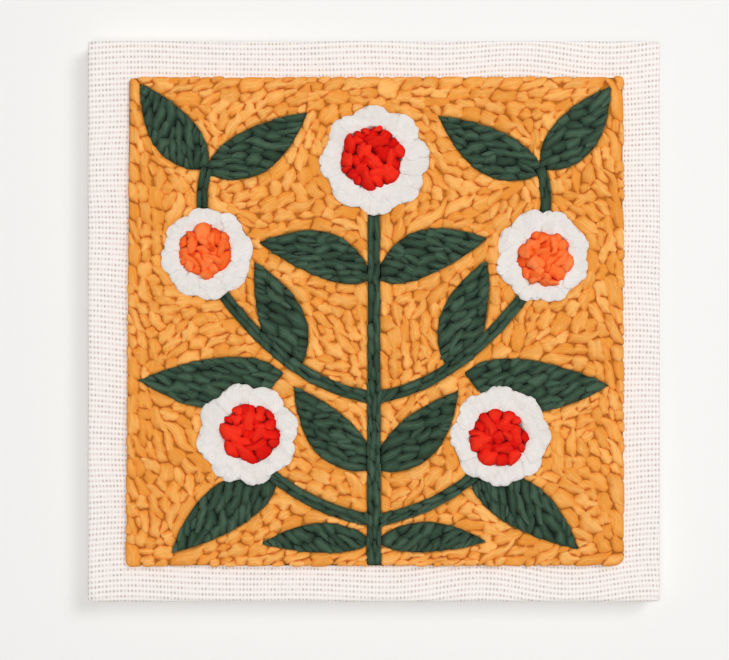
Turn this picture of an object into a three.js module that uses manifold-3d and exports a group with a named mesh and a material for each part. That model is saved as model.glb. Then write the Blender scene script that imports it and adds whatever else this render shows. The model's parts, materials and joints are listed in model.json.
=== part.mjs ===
// An embroidered square: chunky wool stitches on evenweave cotton, stretched over a mitred wooden frame.
// It lies face up. X runs across the square, Y up it and Z out of its face, in millimetres,
// and the origin is the middle of its back, at the lowest face of the turned-over cloth.
import * as THREE from "three";
import { mergeVertices } from "three/addons/utils/BufferGeometryUtils.js";
import Module from "manifold-3d";

const wasm = await Module();
wasm.setup();

// ---- Driving dimensions ----

const GAP = 0.3; // running clearance between neighbouring pieces
const PANEL = { width: 300, height: 294, cornerRadius: 3 };
const CLOTH = { thickness: 1, edgeRadius: 2, turnover: 28, mitreSlit: 0.8 };
const BAR = { width: 30, thickness: 16, edgeRadius: 0.8, mitreGap: GAP };
const WOOL = { height: 4.3, shoulder: 0.8 }; // the packed stitches and their bevelled rim
const TUFT = { height: 8.5, ofBlossom: 0.56, lobes: 6, lobeDepth: 0.06, pointsPerLobe: 4, rings: 10 };
const PETAL = { count: 8, notch: 0.12, softness: 0.7, pointsEach: 5 };
const LEAF = { pointsPerSide: 10, fullestAt: 0.8, fullness: 0.85 };
const STEM_STEPS = 12;
const LEAST_VOLUME = 60; // cubic millimetres; a smaller scrap between two motifs holds no stitch

const BAR_BOTTOM = CLOTH.thickness + GAP;
const BAR_TOP = BAR_BOTTOM + BAR.thickness;
const CLOTH_TOP = BAR_TOP + GAP + CLOTH.thickness;
const WOOL_BOTTOM = CLOTH_TOP + GAP;

// The stitched field is a little out of square, with one softer corner.
const FIELD_CORNERS = [
  { x: -129.5, y: -127.8, radius: 2 },
  { x: 130.4, y: -127.5, radius: 6 },
  { x: 130.2, y: 127.5, radius: 2 },
  { x: -127.2, y: 127.2, radius: 2 },
];

// The design is a plain folk sprig. Rows are for its right-hand half, and all but the centre
// stem are repeated on the left, where a leaf is turned by leftTurn degrees about its base.
const CENTRE_STEM = { root: [0, -127], bend: [0, -40], tip: [0, 66], rootWidth: 7.5, tipWidth: 6 };
const BRANCHES = [
  { root: [0, -104], bend: [30, -100], tip: [56, -78], rootWidth: 6.5, tipWidth: 6 },
  { root: [0, -40], bend: [44, -34], tip: [81, 17], rootWidth: 6.5, tipWidth: 6 },
  { root: [88, 50], bend: [92, 66], tip: [87, 80], rootWidth: 6, tipWidth: 5.5 },
];

const LEAVES = [
  { name: "leaf_crown", base: [1, 22], heading: 20, length: 62, width: 24, bow: 0.07, leftTurn: 2 },
  { name: "leaf_heart", base: [1, -78], heading: 44, length: 60, width: 24, bow: -0.05, leftTurn: -3 },
  { name: "leaf_foot", base: [1, -115], heading: 0, length: 58, width: 16, bow: 0.04, leftTurn: 1 },
  { name: "leaf_corner", base: [50, -82], heading: -33, length: 68, width: 25, bow: 0.05, leftTurn: 2 },
  { name: "leaf_side", base: [47, -27], heading: -5, length: 76, width: 27, bow: -0.05, leftTurn: -2 },
  { name: "leaf_branch", base: [40, -27], heading: 72, length: 62, width: 24, bow: 0.04, leftTurn: 3 },
  { name: "leaf_peak", base: [87, 79], heading: 50, length: 57, width: 24, bow: -0.04, leftTurn: -2 },
  { name: "leaf_brow", base: [88, 77], heading: 151, length: 62, width: 24, bow: 0.05, leftTurn: 2 },
];

const BLOSSOMS = [
  { name: "top", centre: [0.5, 84], radius: 28.5, turn: 4, wool: "red", tuftShift: [-1.5, 1] },
  { name: "right", centre: [88, 34], radius: 24.5, turn: 20, wool: "orange", tuftShift: [1, -1.5] },
  { name: "left", centre: [-87, 35], radius: 24, turn: 9, wool: "orange", tuftShift: [-1, 1.5] },
  { name: "low_right", centre: [66, -60], radius: 26, turn: 0, wool: "red", tuftShift: [-1, -1] },
  { name: "low_left", centre: [-66, -59], radius: 26.5, turn: 14, wool: "red", tuftShift: [1.5, 0.5] },
];

const CORNER_SIGNS = [
  [-1, -1],
  [1, -1],
  [1, 1],
  [-1, 1],
];

const MATERIALS = {
  wood: new THREE.MeshStandardMaterial({ color: 0xd9b98a, roughness: 0.65, metalness: 0 }),
  cotton: new THREE.MeshStandardMaterial({ color: 0xf0e7e1, roughness: 0.95, metalness: 0 }),
  ochre: new THREE.MeshStandardMaterial({ color: 0xe9a146, roughness: 0.9, metalness: 0 }),
  green: new THREE.MeshStandardMaterial({ color: 0x2f4a3a, roughness: 0.9, metalness: 0 }),
  white: new THREE.MeshStandardMaterial({ color: 0xe8e6e1, roughness: 0.92, metalness: 0 }),
  red: new THREE.MeshStandardMaterial({ color: 0xdc241a, roughness: 0.95, metalness: 0 }),
  orange: new THREE.MeshStandardMaterial({ color: 0xf5713a, roughness: 0.95, metalness: 0 }),
};

// ---- Solids ----

// A closed three.js geometry as a manifold-3d solid.
function solidOf(geometry) {
  const bare = new THREE.BufferGeometry();
  const source = geometry.index ? geometry.toNonIndexed() : geometry;
  bare.setAttribute("position", source.getAttribute("position"));
  const merged = mergeVertices(bare, 1e-3);
  return new wasm.Manifold(
    new wasm.Mesh({
      numProp: 3,
      vertProperties: merged.attributes.position.array,
      triVerts: new Uint32Array(merged.index.array),
    }),
  );
}

function meshOf(solid, name, material) {
  const { numProp, vertProperties, triVerts } = solid.getMesh();
  const corners = new Float32Array((vertProperties.length / numProp) * 3);
  for (let i = 0; i < corners.length / 3; i++) {
    corners.set(vertProperties.subarray(i * numProp, i * numProp + 3), i * 3);
  }
  const geometry = new THREE.BufferGeometry();
  geometry.setAttribute("position", new THREE.BufferAttribute(corners, 3));
  geometry.setIndex(new THREE.BufferAttribute(triVerts, 1));
  const mesh = new THREE.Mesh(geometry, material);
  mesh.name = name;
  return mesh;
}

// A straight-sided block over an outline.
function prism(outline, low, high) {
  const geometry = new THREE.ExtrudeGeometry(new THREE.Shape(outline), {
    depth: high - low,
    bevelEnabled: false,
  });
  return solidOf(geometry.translate(0, 0, low));
}

// A block whose upper and lower edges are rounded, inside the outline.
function roundedBlock(outline, low, high, radius, steps) {
  const geometry = new THREE.ExtrudeGeometry(new THREE.Shape(outline), {
    depth: high - low - 2 * radius,
    bevelThickness: radius,
    bevelSize: radius,
    bevelOffset: -radius,
    bevelSegments: steps,
  });
  return solidOf(geometry.translate(0, 0, low + radius));
}

// A flat-bottomed pad of packed stitches with a bevelled upper rim.
function pad(outline) {
  const high = WOOL_BOTTOM + WOOL.height;
  const block = roundedBlock(outline, WOOL_BOTTOM - 2 * WOOL.shoulder, high, WOOL.shoulder, 1);
  return block.subtract(prism(rectangle(2 * PANEL.width, 2 * PANEL.height, 0), -high, WOOL_BOTTOM));
}

// ---- Outlines, all anticlockwise ----

// The points of a closed outline through corners, each rounded to its radius.
function roundedOutline(corners, stepsPerCorner) {
  const points = [];
  corners.forEach((corner, i) => {
    const at = new THREE.Vector2(corner.x, corner.y);
    const before = corners[(i + corners.length - 1) % corners.length];
    const after = corners[(i + 1) % corners.length];
    const back = new THREE.Vector2(before.x, before.y).sub(at).normalize();
    const ahead = new THREE.Vector2(after.x, after.y).sub(at).normalize();
    if (!corner.radius) {
      points.push(at);
      return;
    }
    const arc = new THREE.QuadraticBezierCurve(
      at.clone().addScaledVector(back, corner.radius),
      at,
      at.clone().addScaledVector(ahead, corner.radius),
    );
    points.push(...arc.getPoints(stepsPerCorner));
  });
  return points;
}

function rectangle(width, height, radius) {
  const corners = CORNER_SIGNS.map(([sx, sy]) => ({
    x: (sx * width) / 2,
    y: (sy * height) / 2,
    radius,
  }));
  return roundedOutline(corners, 4);
}

// The outline again, moved outwards by a distance.
function grown(outline, distance) {
  return outline.map((point, i) => {
    const before = outline[(i + outline.length - 1) % outline.length];
    const after = outline[(i + 1) % outline.length];
    const into = point.clone().sub(before).normalize();
    const out = after.clone().sub(point).normalize();
    const normal = new THREE.Vector2(into.y + out.y, -into.x - out.x).normalize();
    const mitre = Math.max(0.35, normal.dot(new THREE.Vector2(out.y, -out.x)));
    return point.clone().addScaledVector(normal, distance / mitre);
  });
}

function leafOutline({ base, heading, length, width, bow }) {
  const upper = [];
  const lower = [];
  for (let i = 0; i <= LEAF.pointsPerSide; i++) {
    const share = i / LEAF.pointsPerSide;
    const half = (width / 2) * Math.sin(Math.PI * share ** LEAF.fullestAt) ** LEAF.fullness || 0;
    const middle = bow * length * Math.sin(Math.PI * share);
    upper.unshift(new THREE.Vector2(share * length, middle + half));
    if (i > 0 && i < LEAF.pointsPerSide) {
      lower.push(new THREE.Vector2(share * length, middle - half));
    }
  }
  const origin = new THREE.Vector2();
  return [...upper, ...lower].map((point) =>
    point.rotateAround(origin, THREE.MathUtils.degToRad(heading)).add(new THREE.Vector2(...base)),
  );
}

function stemOutline({ root, bend, tip, rootWidth, tipWidth }) {
  const line = new THREE.QuadraticBezierCurve(
    new THREE.Vector2(...root),
    new THREE.Vector2(...bend),
    new THREE.Vector2(...tip),
  );
  const right = [];
  const left = [];
  for (let i = 0; i <= STEM_STEPS; i++) {
    const share = i / STEM_STEPS;
    const along = line.getTangent(share);
    const half = THREE.MathUtils.lerp(rootWidth, tipWidth, share) / 2;
    const across = new THREE.Vector2(along.y, -along.x).multiplyScalar(half);
    right.push(line.getPoint(share).add(across));
    left.unshift(line.getPoint(share).sub(across));
  }
  return [...right, ...left];
}

// A round blossom whose rim is a ring of petals.
function blossomOutline({ centre, radius, turn }) {
  const count = PETAL.count * PETAL.pointsEach;
  return Array.from({ length: count }, (_, i) => {
    const angle = (2 * Math.PI * i) / count;
    const lobe = Math.abs(Math.cos((PETAL.count * (angle - THREE.MathUtils.degToRad(turn))) / 2));
    const reach = radius * (1 - PETAL.notch + PETAL.notch * lobe ** PETAL.softness);
    return new THREE.Vector2(centre[0] + reach * Math.cos(angle), centre[1] + reach * Math.sin(angle));
  });
}

function tuftReach(blossom, angle) {
  const wave = Math.cos(TUFT.lobes * angle + blossom.turn);
  return blossom.radius * TUFT.ofBlossom * (1 + TUFT.lobeDepth * wave);
}

function tuftCentre({ centre, tuftShift }) {
  return new THREE.Vector2(centre[0] + tuftShift[0], centre[1] + tuftShift[1]);
}

function tuftOutline(blossom) {
  const middle = tuftCentre(blossom);
  const count = TUFT.lobes * TUFT.pointsPerLobe;
  return Array.from({ length: count }, (_, i) => {
    const angle = (2 * Math.PI * i) / count;
    const reach = tuftReach(blossom, angle);
    return new THREE.Vector2(middle.x + reach * Math.cos(angle), middle.y + reach * Math.sin(angle));
  });
}

// ---- Pieces ----

// The frame's ring is cut along the mitres into four bars.
function addBars(group) {
  const width = PANEL.width - 2 * (CLOTH.thickness + GAP);
  const height = PANEL.height - 2 * (CLOTH.thickness + GAP);
  const outside = rectangle(width, height, PANEL.cornerRadius);
  const inside = rectangle(width - 2 * BAR.width, height - 2 * BAR.width, 0);
  const ring = roundedBlock(outside, BAR_BOTTOM, BAR_TOP, BAR.edgeRadius, 2).subtract(
    prism(inside, -1, BAR_TOP + 1),
  );
  const reach = PANEL.width;
  const skew = (width - height) / 2; // so that each mitre starts in its corner
  const sides = [
    { name: "frame_bar_top", turn: 90, inset: -skew },
    { name: "frame_bar_left", turn: 180, inset: skew },
    { name: "frame_bar_bottom", turn: 270, inset: -skew },
    { name: "frame_bar_right", turn: 0, inset: skew },
  ];
  for (const { name, turn, inset } of sides) {
    const tip = inset + BAR.mitreGap / Math.SQRT2;
    const wedge = [
      new THREE.Vector2(tip, 0),
      new THREE.Vector2(tip + reach, -reach),
      new THREE.Vector2(tip + reach, reach),
    ].map((point) => point.rotateAround(new THREE.Vector2(), THREE.MathUtils.degToRad(turn)));
    group.add(meshOf(ring.intersect(prism(wedge, -1, BAR_TOP + 1)), name, MATERIALS.wood));
  }
}

// One cloth: the face, the four sides and the turned-over edges, which meet at mitred corners.
function addCloth(group) {
  const { thickness, edgeRadius, turnover, mitreSlit } = CLOTH;
  const outer = rectangle(PANEL.width, PANEL.height, PANEL.cornerRadius);
  const inner = rectangle(
    PANEL.width - 2 * thickness,
    PANEL.height - 2 * thickness,
    PANEL.cornerRadius - thickness,
  );
  const back = rectangle(PANEL.width - 2 * turnover, PANEL.height - 2 * turnover, 0);
  let cloth = roundedBlock(outer, 0, CLOTH_TOP, edgeRadius, 4)
    .subtract(roundedBlock(inner, thickness, CLOTH_TOP - thickness, edgeRadius - thickness, 3))
    .subtract(prism(back, -1, 2 * thickness));
  const slit = [
    new THREE.Vector2(-turnover, -mitreSlit / 2),
    new THREE.Vector2(turnover, -mitreSlit / 2),
    new THREE.Vector2(turnover, mitreSlit / 2),
    new THREE.Vector2(-turnover, mitreSlit / 2),
  ];
  for (const [sx, sy] of CORNER_SIGNS) {
    const corner = new THREE.Vector2(
      sx * (PANEL.width / 2 - turnover),
      sy * (PANEL.height / 2 - turnover),
    );
    const along = slit.map((point) =>
      point.clone().rotateAround(new THREE.Vector2(), Math.atan2(sy, sx)).add(corner),
    );
    cloth = cloth.subtract(prism(along, -1, 1.5 * thickness));
  }
  group.add(meshOf(cloth, "ground_cloth", MATERIALS.cotton));
}

// Each piece of stitching is cut back by those laid before it, which leaves GAP between them.
const reserved = [];

function reserve(outline) {
  reserved.push(prism(grown(outline, GAP), WOOL_BOTTOM - 1, WOOL_BOTTOM + TUFT.height + 1));
}

function cutBack(solid) {
  return reserved.reduce((rest, taken) => rest.subtract(taken), solid);
}

function laid(solid, outline) {
  const piece = cutBack(solid);
  reserve(outline);
  return piece;
}

function bySize(solid) {
  return solid.decompose().sort((a, b) => b.volume() - a.volume());
}

// A raised, lobed dome of loops in the heart of a blossom.
function addTuft(group, blossom) {
  const sides = TUFT.lobes * TUFT.pointsPerLobe;
  const dome = new THREE.SphereGeometry(1, sides, TUFT.rings).rotateX(Math.PI / 2);
  const place = dome.getAttribute("position");
  const middle = tuftCentre(blossom);
  for (let i = 0; i < place.count; i++) {
    const angle = Math.atan2(place.getY(i), place.getX(i));
    const reach = tuftReach(blossom, angle);
    const swell = TUFT.height * Math.cbrt(place.getZ(i));
    place.setXYZ(
      i,
      middle.x + reach * place.getX(i),
      middle.y + reach * place.getY(i),
      WOOL_BOTTOM + swell,
    );
  }
  const floor = prism(rectangle(2 * PANEL.width, 2 * PANEL.height, 0), -PANEL.width, WOOL_BOTTOM);
  const tuft = laid(solidOf(dome).subtract(floor), tuftOutline(blossom));
  group.add(meshOf(tuft, `tuft_${blossom.name}`, MATERIALS[blossom.wool]));
}

function addBlossom(group, blossom) {
  const outline = blossomOutline(blossom);
  group.add(meshOf(laid(pad(outline), outline), `petals_${blossom.name}`, MATERIALS.white));
}

const mirroredPoint = ([x, y]) => [-x, y];

function mirroredBranch({ root, bend, tip, ...widths }) {
  return { root: mirroredPoint(root), bend: mirroredPoint(bend), tip: mirroredPoint(tip), ...widths };
}

// The stems that touch are one piece, and the two above the side blossoms stand alone.
function addStems(group) {
  const outlines = [CENTRE_STEM, ...BRANCHES, ...BRANCHES.map(mirroredBranch)].map(stemOutline);
  const all = outlines.map(pad).reduce((joined, next) => joined.add(next));
  const stems = cutBack(all);
  outlines.forEach(reserve);
  addPatches(group, stems, MATERIALS.green, ["stems", "stem_top_left", "stem_top_right"]);
}

function addLeaves(group) {
  for (const row of LEAVES) {
    const left = {
      ...row,
      base: mirroredPoint(row.base),
      heading: 180 - row.heading + row.leftTurn,
      bow: -row.bow,
    };
    for (const [side, leaf] of [["right", row], ["left", left]]) {
      const outline = leafOutline(leaf);
      const [solid] = bySize(laid(pad(outline), outline));
      group.add(meshOf(solid, `${row.name}_${side}`, MATERIALS.green));
    }
  }
}

// Splits a layer into its separate patches. The largest takes the first name, and the others
// take theirs by place, from left to right.
function addPatches(group, solid, material, names) {
  const middle = (patch) => patch.boundingBox().min[0] + patch.boundingBox().max[0];
  const [main, ...rest] = bySize(solid).filter((patch) => patch.volume() > LEAST_VOLUME);
  const patches = [main, ...rest.sort((a, b) => middle(a) - middle(b))];
  if (patches.length !== names.length) {
    throw new Error(`${names[0]} fell into ${patches.length} patches, not ${names.length}`);
  }
  patches.forEach((patch, i) => group.add(meshOf(patch, names[i], material)));
}

function addGround(group) {
  const outline = roundedOutline(FIELD_CORNERS, 3);
  addPatches(group, laid(pad(outline), outline), MATERIALS.ochre, ["ground_stitches"]);
}

const square = new THREE.Group();
addBars(square);
addCloth(square);
for (const blossom of BLOSSOMS) {
  addTuft(square, blossom);
}
for (const blossom of BLOSSOMS) {
  addBlossom(square, blossom);
}
addStems(square);
addLeaves(square);
addGround(square);

export default square;
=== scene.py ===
"""Dresses a square of evenweave cotton, stretched over a wooden frame and filled with chunky wool
stitches, in its weave, its yarn, its looped flower hearts and its wood.

The square lies on its back with its face up. Lengths inside the functions are in millimetres, and
points become metres where a mesh is made.
"""

import json
import math
from dataclasses import dataclass

import bpy
import numpy as np
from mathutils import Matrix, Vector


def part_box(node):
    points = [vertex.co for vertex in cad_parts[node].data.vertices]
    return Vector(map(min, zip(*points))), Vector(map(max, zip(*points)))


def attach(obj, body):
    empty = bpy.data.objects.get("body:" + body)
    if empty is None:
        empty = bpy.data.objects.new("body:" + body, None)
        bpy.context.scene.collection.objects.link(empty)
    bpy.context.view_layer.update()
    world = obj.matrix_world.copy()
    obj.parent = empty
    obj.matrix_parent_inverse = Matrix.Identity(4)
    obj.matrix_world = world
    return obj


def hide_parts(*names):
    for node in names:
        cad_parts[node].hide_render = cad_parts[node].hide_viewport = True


bl_info = {
    "name": "Embroidered Square",
    "version": (1, 0, 0),
    "blender": (4, 5, 0),
    "location": "View3D > Sidebar > Embroidery",
    "description": "Stitches, weave, flower hearts and wood for a stretched square of embroidery",
    "category": "Object",
}

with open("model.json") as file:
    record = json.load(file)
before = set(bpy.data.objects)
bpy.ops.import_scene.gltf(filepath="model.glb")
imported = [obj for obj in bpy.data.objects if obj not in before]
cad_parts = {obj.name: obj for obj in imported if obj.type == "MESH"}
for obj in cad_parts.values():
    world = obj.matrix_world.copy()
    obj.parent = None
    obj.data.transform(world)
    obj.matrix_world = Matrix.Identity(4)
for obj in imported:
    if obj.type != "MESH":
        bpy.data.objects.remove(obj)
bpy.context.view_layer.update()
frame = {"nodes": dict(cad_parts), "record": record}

MM = 0.001
FULL_TURN = 2 * math.pi
NODES = sorted(frame["nodes"])


# ---- Places, from the frame ----


def node_box(node):
    """The lowest and highest corner of a CAD node, in millimetres."""
    low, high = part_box(node)
    return np.array(low) / MM, np.array(high) / MM


CLOTH_LOW, CLOTH_HIGH = node_box("ground_cloth")
WOOL_LOW, WOOL_HIGH = node_box("ground_stitches")
CLOTH_THICKNESS = 1.0
FACE = CLOTH_HIGH[2]
WOOL_TOP = WOOL_HIGH[2]
BLOSSOMS = [node.removeprefix("petals_") for node in NODES if node.startswith("petals_")]
LEAVES = [node for node in NODES if node.startswith("leaf_")]
STEMS = [node for node in NODES if node.startswith("stem")]
BARS = [node for node in NODES if node.startswith("frame_bar_")]


# ---- Settings ----


def linear(hex_colour):
    """A written colour such as "f0a04b" as linear red, green and blue."""
    parts = [int(hex_colour[i : i + 2], 16) / 255 for i in (0, 2, 4)]
    return [p / 12.92 if p <= 0.04045 else ((p + 0.055) / 1.055) ** 2.4 for p in parts]


def length_prop(name, description, millimetres):
    """A length that is written in millimetres and kept in metres."""
    return bpy.props.FloatProperty(
        name=name,
        description=description,
        default=millimetres * MM,
        min=0.0,
        precision=5,
        subtype="DISTANCE",
        unit="LENGTH",
    )


def angle_prop(name, description, degrees):
    """An angle that is written in degrees."""
    return bpy.props.FloatProperty(
        name=name, description=description, default=math.radians(degrees), subtype="ANGLE"
    )


def colour_prop(name, description, hex_colour):
    """A colour that is written as for linear()."""
    return bpy.props.FloatVectorProperty(
        name=name,
        description=description,
        default=linear(hex_colour),
        min=0.0,
        max=1.0,
        size=3,
        subtype="COLOR",
    )


class ClothSettings(bpy.types.PropertyGroup):
    """The evenweave cotton that carries the stitches."""

    colour: colour_prop("Cotton", "Colour of the cotton threads", "f8eee8")
    # Painted highlight where the threads stand proud.
    thread: colour_prop("Raised threads", "Colour where the threads stand proud", "fffaf6")
    # Painted shade in the holes between the threads.
    hole: colour_prop("Holes", "Colour in the holes between the threads", "c3b6ae")
    pitch_across: length_prop("Pitch across", "From one hole to the next along a row", 1.86)
    pitch_up: length_prop("Pitch up", "From one row of holes to the next", 2.78)
    wander: length_prop("Wander", "How far the rows stray where the stitches pull them", 1.6)


class GroundSettings(bpy.types.PropertyGroup):
    """The ochre stitches that fill the field."""

    colour: colour_prop("Ochre", "Colour of the ground wool", "ef993c")
    # Painted highlight on top of the plumpest stitches.
    crown: colour_prop("Crown", "Colour on top of the plumpest stitches", "febc69")
    # Painted shade down between two stitches.
    crease: colour_prop("Crease", "Colour down between two stitches", "a0600a")
    length: length_prop("Stitch length", "Usual length of a stitch", 9.2)
    width: length_prop("Stitch width", "Usual width of a stitch", 5.0)
    wander: angle_prop("Wander", "How far stitches turn from the nearest outline", 24)


class LeafSettings(bpy.types.PropertyGroup):
    """The green stitches of the leaves and stems."""

    colour: colour_prop("Green", "Colour of the leaf wool", "334938")
    # Painted highlight on top of the plumpest stitches.
    crown: colour_prop("Crown", "Colour on top of the plumpest stitches", "4a6450")
    # Painted shade down between two stitches.
    crease: colour_prop("Crease", "Colour down between two stitches", "101f14")
    length: length_prop("Stitch length", "Usual length of a leaf stitch", 9.4)
    width: length_prop("Stitch width", "Usual width of a leaf stitch", 4.0)
    slant: angle_prop("Slant", "Angle of the stitches to the leaf's midrib", 28)


class PetalSettings(bpy.types.PropertyGroup):
    """The white stitches of the blossoms."""

    colour: colour_prop("White", "Colour of the petal wool", "e5dfd9")
    # Painted highlight on top of the plumpest stitches.
    crown: colour_prop("Crown", "Colour on top of the plumpest stitches", "efebe6")
    # Painted shade down between two stitches.
    crease: colour_prop("Crease", "Colour down between two stitches", "cdc2b8")
    length: length_prop("Stitch length", "Usual length of a petal stitch", 11.0)
    width: length_prop("Stitch width", "Usual width of a petal stitch", 6.0)


class TuftSettings(bpy.types.PropertyGroup):
    """The looped hearts of the blossoms."""

    red: colour_prop("Red", "Colour of the red wool", "e4120a")
    # Painted highlight on top of the red loops.
    red_crown: colour_prop("Red crown", "Colour on top of the red loops", "f8341e")
    # Painted shade down between two red loops.
    red_shade: colour_prop("Red shade", "Colour down between two red loops", "8c0200")
    orange: colour_prop("Orange", "Colour of the orange wool", "ff6a26")
    # Painted highlight on top of the orange loops.
    orange_crown: colour_prop("Orange crown", "Colour on top of the orange loops", "ff8a4a")
    # Painted shade down between two orange loops.
    orange_shade: colour_prop("Orange shade", "Colour down between two orange loops", "d83608")
    red_yarn: length_prop("Red yarn", "Thickness of the looped red yarn", 5.4)
    orange_yarn: length_prop("Orange yarn", "Thickness of the looped orange yarn", 4.9)


class WoodSettings(bpy.types.PropertyGroup):
    """The bars of the stretcher frame."""

    light: colour_prop("Light wood", "Colour between the growth rings", "dcbd90")
    dark: colour_prop("Dark wood", "Colour of the growth rings", "bd9465")


class StageSettings(bpy.types.PropertyGroup):
    """The floor, lamps and camera."""

    floor: colour_prop("Floor", "Colour of the floor", "f7f6f4")
    lens: bpy.props.FloatProperty(
        name="Lens", description="Focal length of the camera", default=90.0, min=20.0, unit="CAMERA"
    )
    seen_width: length_prop("Seen width", "Width of the view at the cloth's face", 381.6)


# ---- Meshes ----


def lifted(plan, height):
    """Flat points raised to one height, or each to its own."""
    height = np.broadcast_to(height, plan.shape[:-1])
    return np.concatenate([plan, height[..., None]], axis=-1)


def unit(angle):
    """The flat unit vectors that point at angles."""
    return np.stack([np.cos(angle), np.sin(angle)], axis=-1)


def aside(way):
    """Flat vectors turned a quarter to the left."""
    return np.stack([-way[..., 1], way[..., 0]], axis=-1)


def angle_from(middle, points):
    """The direction from a middle to each flat point, in radians."""
    out = points - middle
    return np.arctan2(out[:, 1], out[:, 0])


def mesh_piece(name, points, faces, attributes=(), uv_maps=()):
    """A new smooth object from points in millimetres and a list of face arrays, one for each face
    size.

    attributes holds (name, kind, values) for each point, and uv_maps holds (name, values for each
    face corner, in the order of the faces).
    """
    mesh = bpy.data.meshes.new(name)
    corners = np.concatenate([block.ravel() for block in faces])
    sizes = np.concatenate([np.full(len(block), block.shape[1]) for block in faces])
    starts = np.concatenate([[0], np.cumsum(sizes)[:-1]])
    mesh.vertices.add(len(points))
    mesh.vertices.foreach_set("co", (points * MM).astype(np.float32).ravel())
    mesh.loops.add(len(corners))
    mesh.loops.foreach_set("vertex_index", corners.astype(np.int32))
    mesh.polygons.add(len(sizes))
    mesh.polygons.foreach_set("loop_start", starts.astype(np.int32))
    mesh.polygons.foreach_set("use_smooth", np.ones(len(sizes), bool))
    mesh.update(calc_edges=True)
    for label, values in uv_maps:
        layer = mesh.uv_layers.new(name=label)
        layer.data.foreach_set("uv", values.astype(np.float32).ravel())
    for label, kind, values in attributes:
        layer = mesh.attributes.new(label, kind, "POINT")
        field = "vector" if kind == "FLOAT_VECTOR" else "value"
        layer.data.foreach_set(field, values.astype(np.float32).ravel())
    mesh.validate()
    piece = bpy.data.objects.new(name, mesh)
    bpy.context.scene.collection.objects.link(piece)
    return piece


def finish_piece(piece, material, node):
    """Gives a piece its material, puts it under the root body and hides the node that it stands for.
    """
    piece.data.materials.append(material)
    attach(piece, "root")
    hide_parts(node)


def ripple(points, wavelength, seed):
    """Smooth noise over flat points, mostly from -1 to 1."""
    rng = np.random.default_rng(seed)
    waves = 7
    turns = rng.uniform(0, FULL_TURN, waves)
    pitches = FULL_TURN / (wavelength * rng.uniform(0.7, 1.5, waves))
    phases = rng.uniform(0, FULL_TURN, waves)
    total = sum(
        np.sin((points[..., 0] * math.cos(turn) + points[..., 1] * math.sin(turn)) * pitch + phase)
        for turn, pitch, phase in zip(turns, pitches, phases)
    )
    return total / math.sqrt(waves)


# ---- Patches of stitches ----


def underside_of(node, tolerance=0.05):
    """The flat underside of a CAD node: its points, its triangles and the edges round it, each with
    the piece on its right."""
    mesh = frame["nodes"][node].data
    points = np.empty(len(mesh.vertices) * 3)
    mesh.vertices.foreach_get("co", points)
    points = np.round(points.reshape(-1, 3) / MM, 2)
    points, same = np.unique(points, axis=0, return_inverse=True)
    mesh.calc_loop_triangles()
    triangles = np.empty(len(mesh.loop_triangles) * 3, int)
    mesh.loop_triangles.foreach_get("vertices", triangles)
    triangles = same.ravel()[triangles].reshape(-1, 3)
    flat = triangles[(points[triangles, 2] < points[:, 2].min() + tolerance).all(axis=1)]
    used, flat = np.unique(flat, return_inverse=True)
    flat = flat.reshape(-1, 3)
    edges = np.concatenate([flat[:, [0, 1]], flat[:, [1, 2]], flat[:, [2, 0]]])
    code = edges[:, 0] * len(used) + edges[:, 1]
    back = edges[:, 1] * len(used) + edges[:, 0]
    return points[used, :2], flat, edges[~np.isin(code, back)]


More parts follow.
